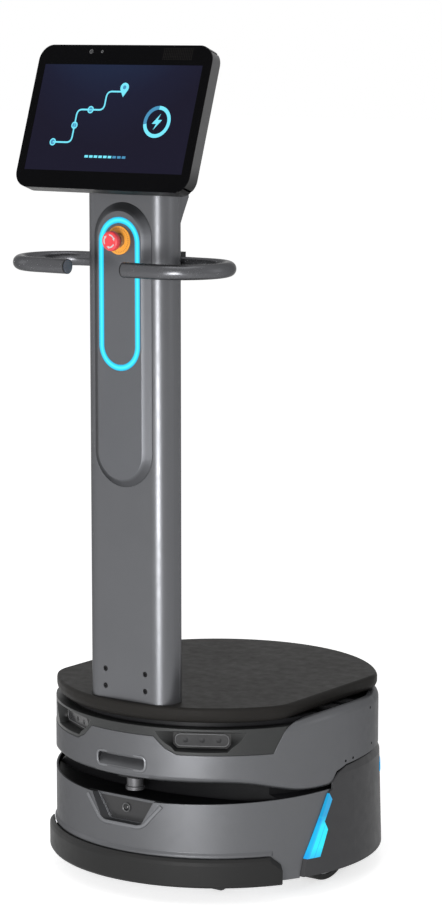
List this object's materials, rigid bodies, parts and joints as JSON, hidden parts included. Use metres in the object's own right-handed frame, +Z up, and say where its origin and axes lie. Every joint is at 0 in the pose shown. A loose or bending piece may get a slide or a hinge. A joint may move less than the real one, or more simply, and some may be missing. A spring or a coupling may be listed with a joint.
{
  "type": "autonomous delivery robot",
  "caption": "Wheeled delivery robot with a round sensor base, a flat load deck and a column that carries a light ring, stop button, bent handlebar and tilted display.",
  "frame": {"origin": "on the floor, under the middle of the robot's overall outline", "axes": "+Z up along the column, the robot faces -Y, its left side is +X"},
  "size_m": [0.516, 0.574, 1.2689],
  "materials": {
    "body_grey": "satin light metallic grey moulded shells",
    "dark_grey": "dark grey textured plastic",
    "black_plastic": "near black satin plastic",
    "deck": "near black textured powder coat",
    "column": "satin grey painted aluminium column",
    "bumper_rubber": "black soft bumper skin",
    "tyre": "black polyurethane tread",
    "caster": "dark grey caster tread",
    "hub_metal": "cast hub motor",
    "steel": "plain steel",
    "camera_glass": "gloss black infrared window",
    "cyan_light": "cyan light guide",
    "screen_glass": "gloss display glass",
    "bezel": "gloss black bezel",
    "stop_red": "red button",
    "stop_yellow": "yellow disc",
    "board_green": "circuit board in a case",
    "contact": "gold plated contacts"
  },
  "bodies": {
    "chassis": {"base_plate": "steel", "deck_posts": "steel", "drive_axles": "steel", "axle_bracket_left": "steel", "axle_bracket_right": "steel", "battery_pack": "black_plastic", "main_board": "board_green", "lower_front_shell": "body_grey", "front_camera_cover": "camera_glass", "front_camera_lens": "camera_glass", "side_panel_left": "dark_grey", "side_panel_right": "dark_grey", "side_light_left": "cyan_light", "side_light_right": "cyan_light", "rear_lights": "cyan_light", "rear_panel": "dark_grey", "charge_contacts": "contact", "waist_core": "black_plastic", "upper_shell": "body_grey", "shoulder_cover": "black_plastic", "depth_camera_left": "camera_glass", "depth_camera_right": "camera_glass", "sensor_band": "black_plastic", "upper_floor": "black_plastic", "top_tray": "steel", "lidar_base": "black_plastic", "deck_plate": "deck", "deck_frame": "steel", "column_front_cover": "column", "column_rear_cover": "column", "column_spine": "steel", "foot_screws": "steel", "light_ring": "cyan_light", "control_panel": "black_plastic", "stop_plate": "stop_yellow", "stop_collar": "black_plastic", "handlebar": "column", "bar_plugs": "black_plastic", "bar_clamps": "black_plastic", "display_housing": "black_plastic", "display_bezel": "bezel", "display_panel": "screen_glass", "display_bracket": "steel", "bumper_guides": "black_plastic"},
    "stop_button": {"stop_button": "stop_red"},
    "power_button": {"power_button": "dark_grey"},
    "bumper": {"bumper": "bumper_rubber"},
    "lidar_head": {"lidar_head": "black_plastic"},
    "drive_wheel_left": {"drive_hub_left": "hub_metal", "drive_tyre_left": "tyre"},
    "drive_wheel_right": {"drive_hub_right": "hub_metal", "drive_tyre_right": "tyre"},
    "caster_front_left": {"caster_fork_front_left": "steel"},
    "roller_front_left": {"caster_wheel_front_left": "caster"},
    "caster_front_right": {"caster_fork_front_right": "steel"},
    "roller_front_right": {"caster_wheel_front_right": "caster"},
    "caster_rear_left": {"caster_fork_rear_left": "steel"},
    "roller_rear_left": {"caster_wheel_rear_left": "caster"},
    "caster_rear_right": {"caster_fork_rear_right": "steel"},
    "roller_rear_right": {"caster_wheel_rear_right": "caster"}
  },
  "joints": [
    {"name": "drive_left", "type": "hinge", "parent": "chassis", "child": "drive_wheel_left", "pos_m": [0.194, 0.027, 0.07], "axis": [1, 0, 0], "continuous": true},
    {"name": "drive_right", "type": "hinge", "parent": "chassis", "child": "drive_wheel_right", "pos_m": [-0.194, 0.027, 0.07], "axis": [1, 0, 0], "continuous": true},
    {"name": "swivel_front_left", "type": "hinge", "parent": "chassis", "child": "caster_front_left", "pos_m": [0.105, -0.131, 0.05], "axis": [0, 0, 1], "continuous": true},
    {"name": "roll_front_left", "type": "hinge", "parent": "caster_front_left", "child": "roller_front_left", "pos_m": [0.105, -0.115, 0.021], "axis": [1, 0, 0], "continuous": true},
    {"name": "swivel_front_right", "type": "hinge", "parent": "chassis", "child": "caster_front_right", "pos_m": [-0.105, -0.131, 0.05], "axis": [0, 0, 1], "continuous": true},
    {"name": "roll_front_right", "type": "hinge", "parent": "caster_front_right", "child": "roller_front_right", "pos_m": [-0.105, -0.115, 0.021], "axis": [1, 0, 0], "continuous": true},
    {"name": "swivel_rear_left", "type": "hinge", "parent": "chassis", "child": "caster_rear_left", "pos_m": [0.105, 0.185, 0.05], "axis": [0, 0, 1], "continuous": true},
    {"name": "roll_rear_left", "type": "hinge", "parent": "caster_rear_left", "child": "roller_rear_left", "pos_m": [0.105, 0.201, 0.021], "axis": [1, 0, 0], "continuous": true},
    {"name": "swivel_rear_right", "type": "hinge", "parent": "chassis", "child": "caster_rear_right", "pos_m": [-0.105, 0.185, 0.05], "axis": [0, 0, 1], "continuous": true},
    {"name": "roll_rear_right", "type": "hinge", "parent": "caster_rear_right", "child": "roller_rear_right", "pos_m": [-0.105, 0.201, 0.021], "axis": [1, 0, 0], "continuous": true},
    {"name": "scanner_spin", "type": "hinge", "parent": "chassis", "child": "lidar_head", "pos_m": [0, -0.186, 0.167], "axis": [0, 0, 1], "continuous": true},
    {"name": "stop_press", "type": "slide", "parent": "chassis", "child": "stop_button", "axis": [0, 1, 0], "range_m": [0, 0.004], "stiffness_N_per_m": 1500, "springref_m": -0.002},
    {"name": "power_press", "type": "slide", "parent": "chassis", "child": "power_button", "axis": [0, -0.3239, -0.9461], "range_m": [0, 0.0009], "stiffness_N_per_m": 1000, "springref_m": -0.001},
    {"name": "bumper_press", "type": "slide", "parent": "chassis", "child": "bumper", "axis": [0, 1, 0], "range_m": [0, 0.005], "stiffness_N_per_m": 1500, "springref_m": -0.004}
  ]
}
